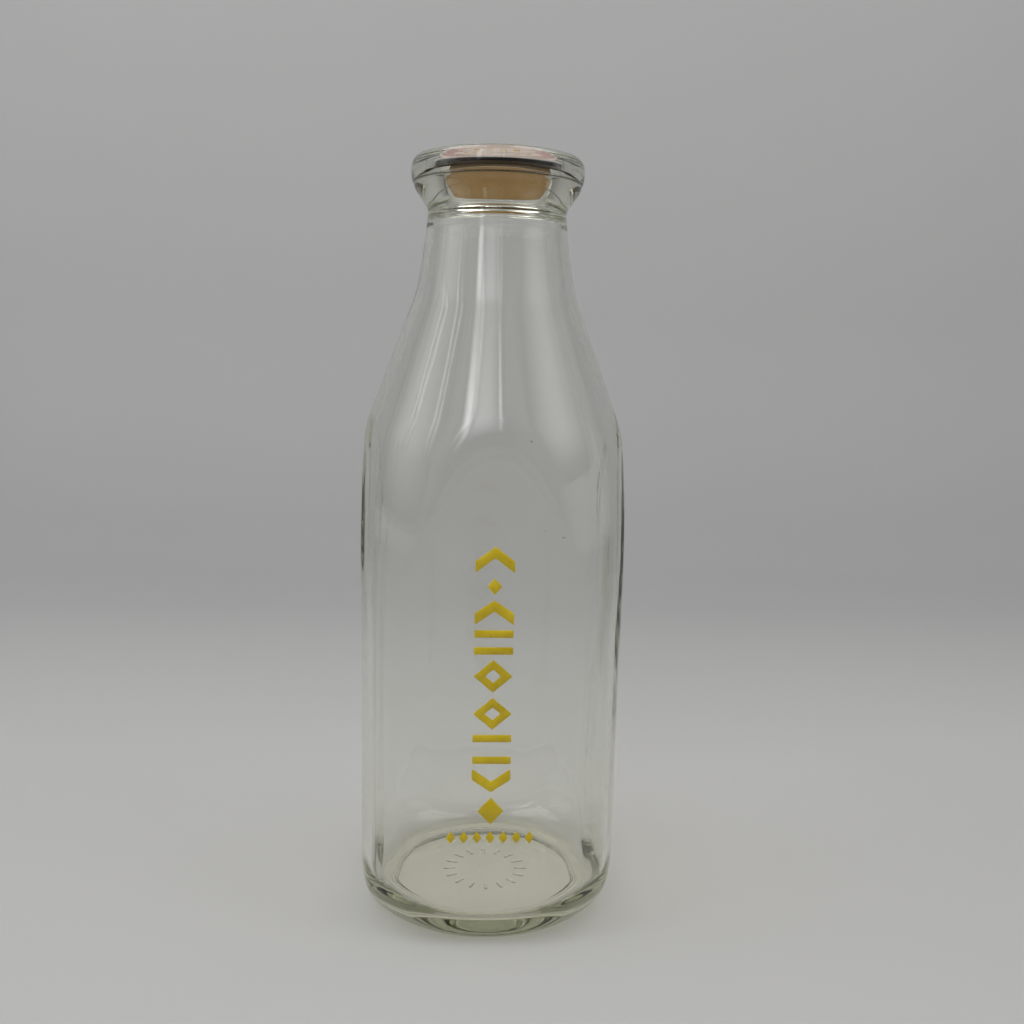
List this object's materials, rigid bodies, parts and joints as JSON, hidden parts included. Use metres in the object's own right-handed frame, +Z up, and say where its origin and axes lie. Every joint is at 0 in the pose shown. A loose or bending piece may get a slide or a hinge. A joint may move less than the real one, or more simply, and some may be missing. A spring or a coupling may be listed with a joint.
{
  "type": "milk bottle",
  "caption": "Square glass milk bottle with a round neck, a beaded mouth, a flat board cap with a pull tab, and yellow fired enamel on one panel.",
  "frame": {"origin": "centre of the ring that the bottle stands on, on the bottle's axis", "axes": "+Z up along the axis to the mouth; -Y out of the enamelled front panel; +X to the right of someone who faces that panel"},
  "size_m": [0.086, 0.0862, 0.2533],
  "materials": {
    "glass": "clear soda-lime glass with a faint grey-green tint",
    "enamel": "fired yellow enamel, slightly glossy and worn",
    "raw_board": "waxed brown paperboard",
    "printed_board": "waxed off-white paperboard printed in red"
  },
  "bodies": {
    "bottle": {"glass_bottle": "glass", "enamel_column": "enamel", "enamel_caption": "enamel"},
    "cap": {"cap_lower_ply": "raw_board", "cap_upper_ply": "printed_board"},
    "tab": {"cap_pull_tab": "printed_board"}
  },
  "joints": [
    {"name": "cap_lift", "type": "slide", "parent": "bottle", "child": "cap", "axis": [0, 0, 1], "range_m": [0, 0.06]},
    {"name": "tab_lift", "type": "hinge", "parent": "cap", "child": "tab", "pos_m": [0, 0.00695, 0.24945], "axis": [-1, 0, 0], "range_deg": [0, 115]}
  ]
}
